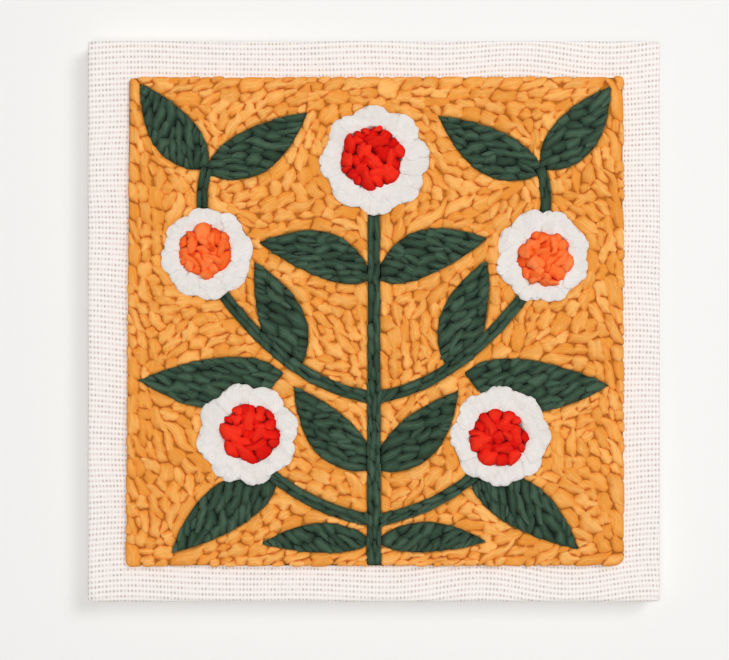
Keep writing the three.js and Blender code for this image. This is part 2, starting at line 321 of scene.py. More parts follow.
class Patch:
    """A stitched area seen from above, on a fine grid: how deep each place lies inside it, and which
    way the nearest stretches of its outline run."""

    step = 0.5
    margin = 6 * step
    far = 16.0
    softness = 6.0

    def __init__(self, node):
        self.node = node
        self.points, self.triangles, self.edges = underside_of(node)
        ends = self.points[self.edges]
        self.low = ends.min(axis=(0, 1)) - self.margin
        high = ends.max(axis=(0, 1)) + self.margin
        columns, rows = np.ceil((high - self.low) / self.step).astype(int) + 1
        self.x = self.low[0] + self.step * np.arange(columns)
        self.y = self.low[1] + self.step * np.arange(rows)
        distance = np.full((rows, columns), self.far)
        self.flow = np.zeros((rows, columns, 2))
        for start, end in ends:
            self.add_edge(distance, start, end)
        inside = np.array([self.crossings(ends, y) for y in self.y])
        self.depth = np.where(inside, distance, -distance)
        self.places = np.stack(np.meshgrid(self.x, self.y), axis=-1)
        self.middle = self.places[inside].mean(axis=0)
        spread = np.cov((self.places[inside] - self.middle).T)
        axis = np.linalg.eigh(spread)[1][:, 1]
        self.axis = math.atan2(axis[1], axis[0])

    def window(self, start, end, reach):
        """Slices of the grid's rows and columns round an edge or a point."""
        low = (np.minimum(start, end) - reach - self.low) / self.step
        high = (np.maximum(start, end) + reach - self.low) / self.step
        low = np.maximum(low.astype(int), 0)
        high = np.maximum(high.astype(int) + 2, low + 1)
        return slice(low[1], high[1]), slice(low[0], high[0])

    def add_edge(self, distance, start, end):
        """Takes one edge of the outline into the distances and the flow."""
        rows, columns = self.window(start, end, self.far)
        run = end - start
        length = max(math.hypot(*run), 1e-6)
        dx = self.x[None, columns] - start[0]
        dy = self.y[rows, None] - start[1]
        share = np.clip((dx * run[0] + dy * run[1]) / length**2, 0, 1)
        gap = np.hypot(dx - share * run[0], dy - share * run[1])
        distance[rows, columns] = np.minimum(distance[rows, columns], gap)
        weight = length / (gap**2 + self.softness)
        twice = 2 * math.atan2(run[1], run[0])
        self.flow[rows, columns, 0] += weight * math.cos(twice)
        self.flow[rows, columns, 1] += weight * math.sin(twice)

    def crossings(self, ends, y):
        """Which columns of a row lie inside the outline."""
        cut = (ends[:, 0, 1] > y) != (ends[:, 1, 1] > y)
        a, b = ends[cut, 0], ends[cut, 1]
        x = np.sort(a[:, 0] + (y - a[:, 1]) / (b[:, 1] - a[:, 1]) * (b[:, 0] - a[:, 0]))
        return np.searchsorted(x, self.x) % 2 == 1

    def sample(self, grid, points):
        """The grid's value at flat points, between its four nearest places."""
        place = (points - self.low) / self.step
        rows, columns = self.depth.shape
        column = np.clip(place[..., 0].astype(int), 0, columns - 2)
        row = np.clip(place[..., 1].astype(int), 0, rows - 2)
        fx = np.clip(place[..., 0] - column, 0, 1)
        fy = np.clip(place[..., 1] - row, 0, 1)
        if grid.ndim == 3:
            fx, fy = fx[..., None], fy[..., None]
        lower = grid[row, column] * (1 - fx) + grid[row, column + 1] * fx
        upper = grid[row + 1, column] * (1 - fx) + grid[row + 1, column + 1] * fx
        return lower * (1 - fy) + upper * fy

    def outline_heading(self, points):
        """The direction of the outline round about each point, in radians."""
        flow = self.sample(self.flow, points)
        return 0.5 * np.arctan2(flow[..., 1], flow[..., 0])


# How near another row, itself or the outline a row may start and end, as shares of the spacing.
START_GAP, START_DEPTH = 0.9, 0.4
END_GAP, END_OWN_GAP, END_DEPTH = 0.78, 0.8, 0.3
ROW_REACH = 1.6
LONGEST_ROW = 84.0


def rows_along(patch, heading, spacing):
    """Rows of flat points, a millimetre apart, that follow a heading through a patch. Each keeps
    about a spacing from the others and half a spacing from the outline."""
    way = unit(heading(patch.places.reshape(-1, 2)).reshape(patch.depth.shape))
    gap = np.full(patch.depth.shape, 3 * spacing)
    own = int(ROW_REACH * spacing)

    def cell(point):
        column, row = np.round((point - patch.low) / patch.step).astype(int)
        return row, column

    def walk(start, ahead):
        points = [start]
        while len(points) < LONGEST_ROW / 2:
            here = way[cell(points[-1])]
            ahead = here if here @ ahead > 0 else -here
            point = points[-1] + ahead
            at = cell(point)
            if patch.depth[at] < END_DEPTH * spacing or gap[at] < END_GAP * spacing:
                break
            if len(points) > own:
                behind = np.linalg.norm(np.array(points[:-own]) - point, axis=1)
                if behind.min() < END_OWN_GAP * spacing:
                    break
            points.append(point)
        return points

    rows = []
    while True:
        misfit = np.minimum(np.abs(gap - spacing), np.abs(patch.depth - spacing / 2))
        misfit[(gap < START_GAP * spacing) | (patch.depth < START_DEPTH * spacing)] = np.inf
        at = np.unravel_index(misfit.argmin(), misfit.shape)
        if not np.isfinite(misfit[at]):
            return rows
        start = patch.places[at]
        row = np.array(walk(start, -way[at])[:0:-1] + walk(start, way[at]))
        rows.append(row)
        for point in row:
            window = patch.window(point, point, ROW_REACH * spacing)
            far = np.hypot(patch.x[None, window[1]] - point[0], patch.y[window[0], None] - point[1])
            gap[window] = np.minimum(gap[window], far)


class Stitches:
    """Stitches laid end to end in rows that fill a patch. Each fills the places that it is nearest
    to, where nearness is measured in its own length and width."""

    # How much stitches turn from their row, and how blunt they are from side to side.
    turn_spread = math.radians(6)
    side_power = 2.4
    # How many half lengths away a stitch still fills places, and the area that it usually fills, as
    # a share of its half length times its half width.
    reach = 2.2
    area = 3.4
    # How far from every stitch a place is sparse, and the size of the small stitches put there.
    sparse = 2.3
    small = 0.62

    def __init__(
        self, patch, heading, length, width, rng, bend, twist=0.0, variety=0.22, lean=0.0, longer=None
    ):
        self.patch = patch
        self.heading_of = heading
        self.rng = rng
        self.lean = lean
        self.usual = {
            "length": length, "width": width, "variety": variety, "bend": bend, "twist": twist
        }
        for row in rows_along(patch, heading, width):
            usual = length * (longer(row[len(row) // 2 :][:1])[0] if longer else 1)
            self.add(*self.cut(row, usual))
        if not hasattr(self, "middle"):
            self.add(patch.middle[None], np.array([length / 2]))
        self.settle(times=3)
        for _ in range(2):
            self.fill_sparse_places()
            self.settle(times=2)

    def cut(self, row, length):
        """The middles and half lengths of stitches laid end to end along a row."""
        count = max(1, round(len(row) / length))
        share = np.exp(self.rng.normal(0, self.usual["variety"], count))
        ends = np.concatenate([[0], np.cumsum(share) / share.sum()]) * len(row) - 0.5
        middle = (ends[1:] + ends[:-1]) / 2
        steps = np.arange(len(row))
        places = np.stack([np.interp(middle, steps, row[:, axis]) for axis in (0, 1)], axis=1)
        return places, np.maximum(np.diff(ends) / 2, 0.3 * length)

    def add(self, middles, half_length, size=1.0):
        """Adds stitches, each with a width, turn, bend and tone of its own."""
        rng, usual, count = self.rng, self.usual, len(middles)
        half_width = size * usual["width"] / 2
        drawn = {
            "middle": middles,
            "turn": rng.normal(self.lean, self.turn_spread, count),
            "half_length": half_length,
            "half_width": half_width * np.exp(rng.normal(0, 0.65 * usual["variety"], count)),
            "bluntness": rng.uniform(3.0, 6.0, count),
            "bend": rng.normal(0, 1, count) * usual["bend"],
            "twist": rng.uniform(0.3, 1.2, count) * usual["twist"],
            "tone": rng.uniform(-1, 1, count),
            "spread": np.ones(count),
        }
        for name, values in drawn.items():
            setattr(self, name, np.concatenate([getattr(self, name, values[:0]), values]))
        self.heading = self.heading_of(self.middle) + self.turn

    def fill_sparse_places(self):
        """Works small stitches into the places that are far from every other stitch."""
        patch = self.patch
        best, _ = self.nearest()
        best[patch.depth < 0.2] = 0
        found = []
        for _ in range(len(self.middle) // 5 + 1):
            row, column = np.unravel_index(best.argmax(), best.shape)
            if best[row, column] < self.sparse:
                break
            place = np.array([patch.x[column], patch.y[row]])
            found.append(place)
            best[patch.window(place, place, self.small * self.usual["width"])] = 0
        if found:
            half_length = self.small * self.usual["length"] / 2
            self.add(np.array(found), np.full(len(found), half_length), self.small)

    def unrolled(self, which, dx, dy):
        """Offsets from the middles of stitches, as distances along and across the bent stitches."""
        cos, sin = np.cos(self.heading[which]), np.sin(self.heading[which])
        along = dx * cos + dy * sin
        across = dy * cos - dx * sin
        return along, across - self.bend[which] * along**2 - self.twist[which] * along**3

    def nearness(self, which, dx, dy):
        """How far offsets are from stitches, as a share of the stitches' own size."""
        along, across = self.unrolled(which, dx, dy)
        return (
            np.abs(along / self.half_length[which]) ** self.bluntness[which]
            + np.abs(across / self.half_width[which]) ** self.side_power
        )

    def nearest(self):
        """For each place of the patch, how near its nearest stitch is, and which one that is."""
        patch = self.patch
        best = np.full(patch.depth.shape, np.inf)
        owner = np.full(patch.depth.shape, -1)
        for i, middle in enumerate(self.middle):
            rows, columns = patch.window(middle, middle, self.reach * self.half_length[i])
            dx = patch.x[None, columns] - middle[0]
            dy = patch.y[rows, None] - middle[1]
            far = self.nearness(i, dx, dy)
            closer = far < best[rows, columns]
            best[rows, columns][closer] = far[closer]
            owner[rows, columns][closer] = i
        owner[patch.depth < 0] = -1
        return best, owner

    def settle(self, times):
        """Moves each stitch, time after time, to the middle of the places that it fills."""
        patch, count = self.patch, len(self.middle)
        for _ in range(times):
            owner = self.nearest()[1]
            row, column = np.nonzero(owner >= 0)
            who = owner[row, column]
            places = np.bincount(who, minlength=count)
            share = np.maximum(places, 1)
            x = np.bincount(who, patch.x[column], count) / share
            y = np.bincount(who, patch.y[row], count) / share
            self.middle[places > 0] = np.stack([x, y], axis=1)[places > 0]
            usual = self.area * self.half_length * self.half_width
            self.spread = np.sqrt(share * patch.step**2 / usual)
            self.heading = self.heading_of(self.middle) + self.turn

    def neighbours(self, most=18):
        """The nearest other stitches of each stitch, nearest first."""
        gap = np.linalg.norm(self.middle[:, None] - self.middle[None], axis=2)
        np.fill_diagonal(gap, np.inf)
        return np.argsort(gap, axis=1)[:, : min(most, len(gap) - 1)]

    def spots(self, share, angle):
        """Where each stitch's rays, which bend as it does, reach at shares of its own size."""
        shape = (-1,) + (1,) * (np.ndim(share) - 1)

        def own(values):
            return values.reshape(shape)

        along = np.cos(angle) * share * own(self.half_length)
        across = np.sin(angle) * share * own(self.half_width)
        across = across + own(self.bend) * along**2 + own(self.twist) * along**3
        cos, sin = own(np.cos(self.heading)), own(np.sin(self.heading))
        x = own(self.middle[:, 0]) + along * cos - across * sin
        y = own(self.middle[:, 1]) + along * sin + across * cos
        return np.stack([x, y], axis=-1)

    def outlines(self, angle, overhang):
        """How much of each ray each stitch fills, and whether the patch's edge stops it there."""

        def take(grid, index):
            return np.take_along_axis(grid, index[:, :, None], axis=2)[:, :, 0]

        shares = np.linspace(0.06, 1.9, 44)
        angle = angle[None, :, None]
        grid = np.broadcast_to(shares, (len(self.middle), angle.shape[1], len(shares)))
        point = self.spots(grid, angle)
        own = (
            np.abs(np.cos(angle) * grid) ** self.bluntness[:, None, None]
            + np.abs(np.sin(angle) * grid) ** self.side_power
        )
        other = np.full(own.shape, np.inf)
        for near in self.neighbours().T:
            gap = point - self.middle[near][:, None, None]
            far = self.nearness(near[:, None, None], gap[..., 0], gap[..., 1])
            other = np.minimum(other, far)
        free = np.sqrt(np.minimum(other, 1e3)) - np.sqrt(own)
        room = (self.patch.sample(self.patch.depth, point) + overhang[:, None, None]) / 2.0
        clear = np.minimum(free, room)
        blocked = clear < 0
        first = np.where(blocked.any(axis=2), blocked.argmax(axis=2), len(shares) - 1)
        before = np.maximum(first - 1, 0)
        inner, outer = take(clear, before), take(clear, first)
        part = np.clip(inner / np.maximum(inner - outer, 1e-6), 0, 1)
        filled = shares[before] + part * (shares[first] - shares[before])
        at_edge = take(room, first) < take(free, first)
        return filled, at_edge


def rounded(filled, limit, keep=0.55, hardness=6):
    """Pares the corners off outlines and draws them in under a limit, so that stitches end round."""
    filled = (filled**-hardness + limit**-hardness) ** (-1 / hardness)
    mean = (np.roll(filled, 1, axis=1) + np.roll(filled, -1, axis=1)) / 2
    return np.minimum(filled, keep * filled + (1 - keep) * mean)


# The rings of points round a stitch, as shares of its outline, and the points on each.
RINGS = np.array([0.32, 0.55, 0.73, 0.86, 0.95, 1.0])
RAYS = 28
STITCH_POINTS = 1 + RAYS * (len(RINGS) + 1)
# How far the foot of a stitch lies above the cloth and inside its outline, and how far a bed stays
# back from the field's edge.
CLOTH_GAP, FOOT_INSET, BED_INSET = 0.05, 0.25, 0.4
# How far apart the fibres of two stitches start in the wool's noise.
APART = 37.0


@dataclass
class Plumpness:
    """How high stitches swell and how far they reach. side and end give the lowest and highest
    that the creases lie along a stitch's sides and at its ends, as shares of its height. lap is how
    far a stitch reaches over its neighbours, and overhang how far over the patch's edge. lump is how
    lumpy its top is, dash how soon a crease changes from low to high, and slope how early a stitch
    falls away to it. farthest limits its outline, in its own half lengths and widths."""

    height: float
    side: tuple
    end: tuple
    lap: float
    overhang: tuple
    lump: float
    dash: float
    slope: float = 0.5
    rim: float = 0.25
    farthest: float = 1.5
    unevenness: float = 0.08


def stitch_arrays(stitches, plump, seed):
    """Points, faces, strands and crests of a patch of plump stitches."""
    rng = np.random.default_rng(seed)
    count = len(stitches.middle)
    angle = FULL_TURN * np.arange(RAYS) / RAYS
    cos, sin = np.cos(angle), np.sin(angle)
    filled, at_edge = stitches.outlines(angle, rng.uniform(*plump.overhang, count))
    filled = rounded(filled, plump.farthest * np.maximum(stitches.spread, 0.75)[:, None])
    reach = np.hypot(cos * stitches.half_length[:, None], sin * stitches.half_width[:, None])
    merge = np.clip(0.5 + 0.6 * ripple(stitches.spots(filled, angle), plump.dash, seed + 10), 0, 1)
    endness = np.abs(cos)[None, :] ** 4
    lap = plump.lap * (0.4 + 1.6 * merge) * (1 + 2 * endness * merge)
    lapped = filled + np.where(at_edge, 0.0, lap) / reach
    inside = stitches.patch.sample(stitches.patch.depth, stitches.spots(lapped, angle)) > 0
    filled = np.where(inside, lapped, filled)

    side, end = (low + (high - low) * merge for low, high in (plump.side, plump.end))
    crease = np.where(at_edge, plump.rim, side + (end - side) * endness)
    power = 2.0 + 1.2 * endness
    top = plump.height * (1 + plump.unevenness * rng.normal(0, 1, (count, 1)).clip(-2, 2))
    tilt = 0.9 * plump.unevenness * rng.normal(0, 1, (count, 2)).clip(-2, 2)
    plan, lift = [stitches.middle[:, None]], [top]
    for ring in RINGS:
        plan.append(stitches.spots(filled * ring, angle))
        dome = (1 - ring**power) ** plump.slope
        lean = 1 + ring * (tilt[:, :1] * cos + tilt[:, 1:] * sin)
        lift.append(top * (crease + (1 - crease) * dome) * lean)
    plan.append(stitches.spots(filled - FOOT_INSET / reach, angle))
    lift.append(np.zeros((count, RAYS)))
    plan, lift = np.concatenate(plan, axis=1), np.concatenate(lift, axis=1)

    # crest, each point's height as a share of the stitch's, sets how much painted crease shade and
    # painted crown highlight the wool shows there. Along the patch's edge it stays at least 0.7, so
    # that the outer walls show little painted crease shade.
    crest = lift / plump.height
    rim = np.tile(at_edge, (1, len(RINGS) + 1))
    crest[:, 1:] = np.where(rim, np.maximum(crest[:, 1:], 0.7), crest[:, 1:])
    lump = ripple(plan, 6.0, seed + 11) * 0.16 + ripple(plan, 2.6, seed + 12) * 0.08
    lift = np.where(lift > 0.01, lift + plump.lump * lump * crest, 0)
    points = lifted(plan, FACE + CLOTH_GAP + lift)

    each = np.arange(count)[:, None]
    offset = plan - stitches.middle[:, None]
    along, across = stitches.unrolled(each, offset[..., 0], offset[..., 1])
    tone = np.broadcast_to(stitches.tone[:, None], across.shape)
    strand = np.stack([along + APART * each, across, tone], axis=2)
    return points, stitch_faces(count), strand, crest


def stitch_faces(count):
    """Triangles round each stitch's top and quads down its sides."""
    around = np.arange(RAYS)
    onward = (around + 1) % RAYS
    fan = np.stack([np.zeros(RAYS, int), 1 + around, 1 + onward], axis=1)
    bands = []
    for inner in 1 + RAYS * np.arange(len(RINGS)):
        outer = inner + RAYS
        band = [inner + around, outer + around, outer + onward, inner + onward]
        bands.append(np.stack(band, axis=1))
    first = (np.arange(count) * STITCH_POINTS)[:, None, None]
    return [fan + first, np.concatenate(bands) + first]


def bed_arrays(patch, height, crest, spread=0.45, drawn_in=None):
    """A low bed of wool under a patch's stitches, so that no cloth shows between them. crest sets
    its colour from the wool's painted crease shade to its own colour, and drawn_in tells which
    points of its rim stay back from the edge instead of reaching over it."""
    start, end = patch.edges.T
    run = patch.points[end] - patch.points[start]
    run /= np.linalg.norm(run, axis=1, keepdims=True)
    out = np.zeros_like(patch.points)
    for rim in (start, end):
        np.add.at(out, rim, aside(run))
    out /= np.maximum(np.linalg.norm(out, axis=1, keepdims=True), 1e-6)
    reach = np.full((len(patch.points), 1), spread)
    if drawn_in:
        reach[drawn_in(patch.points)] = -BED_INSET
    points = lifted(patch.points + reach * out, FACE + height)
    count = len(points)
    foot = points - [0, 0, height - CLOTH_GAP]
    walls = np.column_stack([start, end, end + count, start + count])
    crests = np.full(2 * count, crest)
    points = np.concatenate([points, foot])
    return points, [patch.triangles[:, ::-1], walls], 0.3 * points, crests


def merged(arrays, chosen=slice(None)):
    """Some or all of a patch's stitches as one mesh: its points, faces, strands and crests."""
    points, faces, strand, crest = arrays
    points, strand, crest = points[chosen], strand[chosen], crest[chosen]
    faces = [block[: len(points)].reshape(-1, block.shape[2]) for block in faces]
    return points.reshape(-1, 3), faces, strand.reshape(-1, 3), crest.ravel()


def stitched_piece(name, *meshes):
    """A piece made of stitches and of the bed under them."""
    blocks, before = [], 0
    for points, faces, _, _ in meshes:
        blocks += [block + before for block in faces]
        before += len(points)
    points, strand, crest = (np.concatenate([mesh[part] for mesh in meshes]) for part in (0, 2, 3))
    attributes = [("strand", "FLOAT_VECTOR", strand), ("crest", "FLOAT", crest)]
    return mesh_piece(name, points, blocks, attributes)


def fill_patch(stitches, plump, seed, bed, wool):
    """Makes the piece of one patch of stitches, with the bed of wool under them."""
    patch = stitches.patch
    worked = merged(stitch_arrays(stitches, plump, seed))
    piece = stitched_piece(f"{patch.node}_wool", worked, bed_arrays(patch, **bed))
    finish_piece(piece, wool, patch.node)


# ---- Materials ----


def add_node(tree, kind, inputs=None, **settings):
    """A new shader node, with its inputs given as values or as sockets to link from."""
    node = tree.nodes.new(f"ShaderNode{kind}")
    for key, value in settings.items():
        setattr(node, key, value)
    for key, value in (inputs or {}).items():
        if isinstance(value, bpy.types.NodeSocket):
            tree.links.new(value, node.inputs[key])
        else:
            node.inputs[key].default_value = value
    return node


def calculate(tree, operation, *values):
    """The output of a Math node."""
    return add_node(tree, "Math", dict(enumerate(values)), operation=operation).outputs[0]


def on_vector(tree, operation, inputs, output="Vector"):
    """The output of a Vector Math node."""
    return add_node(tree, "VectorMath", inputs, operation=operation).outputs[output]


def noise(tree, place, scale, detail, roughness=0.5):
    """The output of a Noise Texture node."""
    inputs = {"Vector": place, "Scale": scale, "Detail": detail, "Roughness": roughness}
    return add_node(tree, "TexNoise", inputs).outputs[0]


def blend_colours(tree, share, first, second):
    """The colour output of a Mix node."""
    inputs = {0: share, 6: first, 7: second}
    return add_node(tree, "Mix", inputs, data_type="RGBA").outputs[2]


def stretched(tree, value, low, high, to_low=0.0, to_high=1.0):
    """A value carried smoothly from one range to another."""
    inputs = {0: value, 1: low, 2: high, 3: to_low, 4: to_high}
    return add_node(tree, "MapRange", inputs, interpolation_type="SMOOTHSTEP").outputs[0]


def opaque(colour):
    """A colour with its alpha."""
    return (*colour, 1)


def new_group(name, inputs, outputs):
    """An empty shader node group with named sockets, and its input and output nodes."""
    tree = bpy.data.node_groups.new(name, "ShaderNodeTree")
    for label, kind, default in inputs:
        socket = tree.interface.new_socket(label, in_out="INPUT", socket_type=kind)
        socket.default_value = default
    for label, kind in outputs:
        tree.interface.new_socket(label, in_out="OUTPUT", socket_type=kind)
    return tree, tree.nodes.new("NodeGroupInput").outputs, tree.nodes.new("NodeGroupOutput").inputs


def new_material(name):
    """An empty material, its node tree and its output's surface socket."""
    material = bpy.data.materials.new(name)
    material.use_nodes = True
    material.node_tree.nodes.clear()
    output = add_node(material.node_tree, "OutputMaterial")
    return material, material.node_tree, output.inputs["Surface"]


def link_shader(tree, surface, inputs, height, strength, distance):
    """Gives a material's surface a Principled shader with a bump, its distance in millimetres."""
    bump = {"Height": height, "Strength": strength, "Distance": distance * MM}
    normal = add_node(tree, "Bump", bump).outputs["Normal"]
    shader = add_node(tree, "BsdfPrincipled", {"Normal": normal, **inputs})
    tree.links.new(shader.outputs[0], surface)


def spun_wool():
    """The node group of soft spun wool: fibres along each strand, a tone for each strand, painted
    shade down in the creases and a painted highlight on the crowns."""
    found = bpy.data.node_groups.get("Spun wool")
    if found:
        return found
    tree, given, result = new_group(
        "Spun wool",
        [
            ("Colour", "NodeSocketColor", (0.8, 0.8, 0.8, 1)),
            # Painted shade colour for the creases, and painted highlight colour for the crowns.
            ("Crease Colour", "NodeSocketColor", (0.2, 0.2, 0.2, 1)),
            ("Crown Colour", "NodeSocketColor", (0.9, 0.9, 0.9, 1)),
            ("Tone Spread", "NodeSocketFloat", 0.1),
            ("Streaks", "NodeSocketFloat", 1.0),
            ("Crease Low", "NodeSocketFloat", 0.45),
            ("Crease High", "NodeSocketFloat", 0.9),
        ],
        [("Colour", "NodeSocketColor"), ("Height", "NodeSocketFloat")],
    )
    strand = add_node(tree, "Attribute", attribute_name="strand").outputs["Vector"]
    crest = add_node(tree, "Attribute", attribute_name="crest").outputs["Fac"]
    tone = add_node(tree, "SeparateXYZ", {0: strand}).outputs["Z"]

    def fibres(along, across, detail):
        place = on_vector(tree, "MULTIPLY", {0: strand, 1: (along, across, 3.0)})
        return noise(tree, place, 1.0, detail, 0.6)

    coarse = fibres(0.16, 1.3, 2.0)
    fine = fibres(0.45, 5.5, 3.0)
    shade = calculate(tree, "MULTIPLY", tone, given["Tone Spread"])
    streak = calculate(tree, "MULTIPLY", calculate(tree, "SUBTRACT", fine, 0.5), 0.26)
    patchy = calculate(tree, "MULTIPLY_ADD", calculate(tree, "SUBTRACT", coarse, 0.5), 0.26, streak)
    patchy = calculate(tree, "MULTIPLY_ADD", patchy, given["Streaks"], shade)
    bright = calculate(tree, "ADD", patchy, 1.0)
    # Painted highlight: the highest crests take the crown colour.
    crown = calculate(tree, "ADD", crest, calculate(tree, "MULTIPLY", shade, 1.5))
    crown = stretched(tree, calculate(tree, "MULTIPLY_ADD", coarse, 0.5, crown), 1.0, 1.5)
    lit = blend_colours(tree, crown, given["Colour"], given["Crown Colour"])
    washed = on_vector(tree, "SCALE", {0: lit, 3: bright})
    # Painted shade: low crests, down in the creases, take the crease colour.
    raised = stretched(tree, crest, given["Crease Low"], given["Crease High"])
    colour = blend_colours(tree, raised, given["Crease Colour"], washed)
    tree.links.new(colour, result["Colour"])
    relief = calculate(tree, "MULTIPLY_ADD", coarse, 0.5, calculate(tree, "MULTIPLY", fine, 0.35))
    tree.links.new(relief, result["Height"])
    return tree


def wool_material(name, colours, tone_spread, creases, bump=0.35, sheen=0.25, streaks=1.0):
    """Matt, slightly downy wool, from its own colour, the painted shade colour for its creases and
    the painted highlight colour for its crowns."""
    material, tree, surface = new_material(name)
    # Its own colour, its painted shade for the creases and its painted highlight for the crowns.
    colour, crease, crown = colours
    given = {
        "Colour": opaque(colour),
        "Crease Colour": opaque(crease),
        "Crown Colour": opaque(crown),
        "Tone Spread": tone_spread,
        "Streaks": streaks,
        "Crease Low": creases[0],
        "Crease High": creases[1],
    }
    wool = add_node(tree, "Group", node_tree=spun_wool())
    for label, value in given.items():
        wool.inputs[label].default_value = value
    look = {
        "Base Color": wool.outputs["Colour"],
        "Roughness": 0.92,
        "Specular IOR Level": 0.1,
        "Sheen Weight": sheen,
        "Sheen Roughness": 0.5,
        "Sheen Tint": opaque(0.35 + 0.65 * part / max(colour) for part in colour),
    }
    link_shader(tree, surface, look, wool.outputs["Height"], strength=bump, distance=0.5)
    return material


def wool_colours(settings):
    """A wool's own colour, its painted shade for the creases and its painted highlight for the crowns.
    """
    return settings.colour, settings.crease, settings.crown


def weave_material(settings):
    """Evenweave cotton: soft threads with rows of small holes between them, with painted shade in
    the holes and a painted highlight where the threads stand proud.
    """
    material, tree, surface = new_material("Evenweave cotton")
    place = add_node(tree, "UVMap", uv_map="Weave").outputs[0]
    axes = add_node(tree, "SeparateXYZ", {0: place}).outputs
    cells, squares, plies = [], [], []
    for axis, pitch, hole_size, wave in (
        ("X", settings.pitch_across / MM, 0.26, "SINE"),
        ("Y", settings.pitch_up / MM, 0.22, "COSINE"),
    ):
        turns = calculate(tree, "DIVIDE", axes[axis], pitch)
        cells.append(calculate(tree, "FLOOR", turns))
        away = calculate(tree, "SUBTRACT", calculate(tree, "FRACT", turns), 0.5)
        away = calculate(tree, "DIVIDE", calculate(tree, "ABSOLUTE", away), hole_size)
        squares.append(calculate(tree, "MULTIPLY", away, away))
        turned = calculate(tree, "MULTIPLY", axes[axis], 2 * FULL_TURN / pitch)
        plies.append(calculate(tree, wave, turned))
    cell = add_node(tree, "CombineXYZ", dict(enumerate(cells))).outputs[0]
    chance = add_node(tree, "TexWhiteNoise", {0: cell}, noise_dimensions="2D").outputs[0]
    radius = calculate(tree, "SQRT", calculate(tree, "ADD", *squares))
    size = stretched(tree, chance, 0.0, 1.0, 0.7, 1.25)
    hole = stretched(tree, calculate(tree, "DIVIDE", radius, size), 0.2, 1.2, 1.0, 0.0)
    fluff = noise(tree, place, 1.4, 3.0, 0.6)
    broad = noise(tree, place, 0.05, 2.0)

    warp, weft = plies
    rough = calculate(tree, "MULTIPLY_ADD", warp, 0.10, calculate(tree, "MULTIPLY", weft, 0.10))
    rough = calculate(tree, "ADD", rough, calculate(tree, "MULTIPLY", fluff, 0.5))
    relief = calculate(tree, "SUBTRACT", rough, calculate(tree, "MULTIPLY", hole, 1.3))
    shade = stretched(tree, broad, 0.3, 0.7, 0.975, 1.015)
    worn = on_vector(tree, "SCALE", {0: settings.colour, 3: shade})
    dust = opaque(0.86 * part for part in settings.colour)
    dust_and_highlight = blend_colours(tree, calculate(tree, "MULTIPLY", fluff, 0.12), worn, dust)
    # Painted highlight: away from the holes, where the threads stand proud, the cotton takes the
    # raised threads' lighter colour.
    proud = stretched(tree, calculate(tree, "MULTIPLY_ADD", fluff, 0.9, radius), 2.0, 2.7)
    dust_and_highlight = blend_colours(tree, proud, dust_and_highlight, opaque(settings.thread))
    # Painted shade in the holes: the cotton takes the darker hole colour there, more in some holes
    # than others.
    depth = calculate(tree, "MULTIPLY", hole, stretched(tree, chance, 0.0, 1.0, 0.5, 0.95))
    look = {
        "Base Color": blend_colours(tree, depth, dust_and_highlight, opaque(settings.hole)),
        "Roughness": 0.9,
        "Specular IOR Level": 0.2,
        "Sheen Weight": 0.1,
        "Sheen Roughness": 0.6,
    }
    link_shader(tree, surface, look, relief, strength=0.5, distance=0.35)
    return material


def planed_wood():
    """The node group of planed pine: growth rings and fine pores along the X axis."""
    found = bpy.data.node_groups.get("Planed wood")
    if found:
        return found
    tree, given, result = new_group(
        "Planed wood",
        [
            ("Place", "NodeSocketVector", (0, 0, 0)),
            ("Light", "NodeSocketColor", (0.7, 0.5, 0.3, 1)),
            ("Dark", "NodeSocketColor", (0.5, 0.3, 0.2, 1)),
        ],
        [("Colour", "NodeSocketColor"), ("Height", "NodeSocketFloat")],
    )
    place = on_vector(tree, "MULTIPLY", {0: given["Place"], 1: (9.0, 160.0, 160.0)})
    warp = add_node(tree, "TexNoise", {"Vector": place, "Scale": 0.35, "Detail": 2.0})
    bent = on_vector(tree, "ADD", {0: place, 1: warp.outputs["Color"]})
    wave = {"Vector": bent, "Scale": 0.55, "Distortion": 3.0, "Detail": 2.0}
    rings = add_node(tree, "TexWave", wave, bands_direction="Z").outputs["Fac"]
    pores = noise(tree, place, 9.0, 3.0, 0.7)
    share = calculate(tree, "MULTIPLY_ADD", pores, 0.35, calculate(tree, "MULTIPLY", rings, 0.55))
    colour = blend_colours(tree, share, given["Light"], given["Dark"])
    tree.links.new(colour, result["Colour"])
    tree.links.new(pores, result["Height"])
    return tree


def wood_material(name, turn, settings):
    """Unvarnished pine with its grain along a bar."""
    material, tree, surface = new_material(name)
    place = add_node(tree, "TexCoord").outputs["Object"]
    place = add_node(tree, "Mapping", {"Vector": place, "Rotation": (0, 0, turn)}).outputs[0]
    wood = add_node(tree, "Group", node_tree=planed_wood())
    tree.links.new(place, wood.inputs["Place"])
    wood.inputs["Light"].default_value = opaque(settings.light)
    wood.inputs["Dark"].default_value = opaque(settings.dark)
    look = {"Base Color": wood.outputs["Colour"], "Roughness": 0.6}
    link_shader(tree, surface, look, wood.outputs["Height"], strength=0.3, distance=0.3)
    return material


# ---- Operators ----


